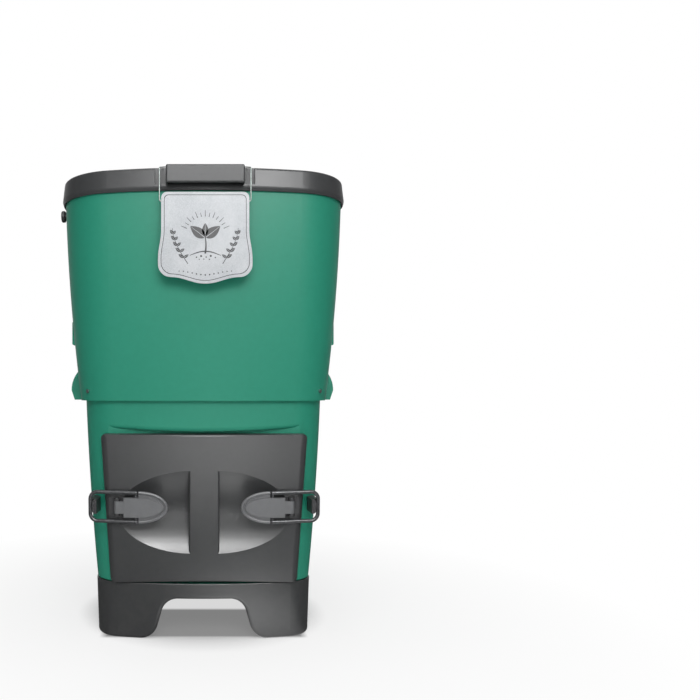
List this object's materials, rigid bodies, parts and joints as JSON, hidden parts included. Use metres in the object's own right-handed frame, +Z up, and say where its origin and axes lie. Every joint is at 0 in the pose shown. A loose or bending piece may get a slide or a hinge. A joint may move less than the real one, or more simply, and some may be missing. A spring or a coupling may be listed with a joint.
{
  "type": "compost bin",
  "caption": "Insulated garden compost bin: arched stand, green tapered casings, dark-grey hinged lid with a hanging sign plate, and a front emptying hatch held by over-centre latches.",
  "frame": {"origin": "on the ground under the middle of the bin's bounding box", "axes": "+Z up; -Y is the front with the hatch and the sign plate; +X is the viewer's right"},
  "size_m": [0.685, 0.701, 1.0906],
  "materials": {
    "green_casing": "fine mottled",
    "grey_casing": "satin",
    "dark_plastic": "satin",
    "inner_plastic": "matte",
    "foam": "beaded",
    "seal_rubber": "matte",
    "bare_steel": "bright",
    "bail_wire": "satin",
    "plate": "fine speckled"
  },
  "bodies": {
    "bin": {"base_stand": "grey_casing", "floor_pan": "inner_plastic", "drain_cap": "dark_plastic", "aeration_grate": "inner_plastic", "lower_shell": "green_casing", "lower_insulation": "foam", "lower_liner": "inner_plastic", "door_frame": "inner_plastic", "upper_shell": "green_casing", "upper_insulation": "foam", "upper_liner": "inner_plastic", "seam_screws": "bare_steel", "vent_sleeve": "dark_plastic", "hinge_bracket_left": "dark_plastic", "hinge_bracket_right": "dark_plastic", "hinge_pins": "bare_steel", "latch_catch_left": "dark_plastic", "latch_catch_right": "dark_plastic"},
    "lid": {"lid_shell": "grey_casing", "lid_insulation": "foam", "lid_liner": "inner_plastic", "lid_seal": "seal_rubber", "lid_screws": "bare_steel", "lid_grip": "grey_casing", "hinge_leaf_left": "dark_plastic", "hinge_leaf_right": "dark_plastic", "hang_wire": "bare_steel"},
    "sign": {"sign_plate": "plate"},
    "hatch": {"hatch_cover": "grey_casing", "hatch_pan": "inner_plastic", "hatch_insulation": "foam", "hatch_seal": "seal_rubber", "hatch_screws": "bare_steel", "latch_bracket_left": "dark_plastic", "latch_bracket_right": "dark_plastic", "latch_pins": "bare_steel"},
    "left_lever": {"latch_lever_left": "dark_plastic"},
    "right_lever": {"latch_lever_right": "dark_plastic"},
    "left_bail": {"latch_bail_left": "bail_wire"},
    "right_bail": {"latch_bail_right": "bail_wire"},
    "vent_knob": {"vent_knob": "dark_plastic"}
  },
  "joints": [
    {"name": "lid_hinge", "type": "hinge", "parent": "bin", "child": "lid", "pos_m": [0, 0.3425, 1.018], "axis": [-1, 0, 0], "range_deg": [0, 105]},
    {"name": "sign_swing", "type": "hinge", "parent": "lid", "child": "sign", "pos_m": [0, -0.3403, 0.9917], "axis": [1, 0, 0], "range_deg": [0, 93]},
    {"name": "hatch_pull", "type": "slide", "parent": "bin", "child": "hatch", "axis": [0, -0.9974, -0.0717], "range_m": [0, 0.2]},
    {"name": "right_lever_hinge", "type": "hinge", "parent": "hatch", "child": "right_lever", "pos_m": [0.2, -0.26336, 0.31183], "axis": [0, -0.0717, 0.9974], "range_deg": [0, 150]},
    {"name": "left_lever_hinge", "type": "hinge", "parent": "hatch", "child": "left_lever", "pos_m": [-0.2, -0.26336, 0.31183], "axis": [0, 0.0717, -0.9974], "range_deg": [0, 150]},
    {"name": "right_bail_pivot", "type": "hinge", "parent": "right_lever", "child": "right_bail", "pos_m": [0.156, -0.26884, 0.31144], "axis": [0, -0.0717, 0.9974], "range_deg": [-91, 0]},
    {"name": "left_bail_pivot", "type": "hinge", "parent": "left_lever", "child": "left_bail", "pos_m": [-0.156, -0.26884, 0.31144], "axis": [0, 0.0717, -0.9974], "range_deg": [-91, 0]},
    {"name": "vent_turn", "type": "hinge", "parent": "bin", "child": "vent_knob", "pos_m": [-0.33, -0.14, 1.005], "axis": [-1, 0, 0], "range_deg": [0, 90]}
  ],
  "couplings": [
    {"joint": "sign_swing", "follows": "lid_hinge", "ratio": 0.88},
    {"joint": "right_bail_pivot", "follows": "right_lever_hinge", "ratio": -0.6},
    {"joint": "left_bail_pivot", "follows": "left_lever_hinge", "ratio": -0.6}
  ]
}
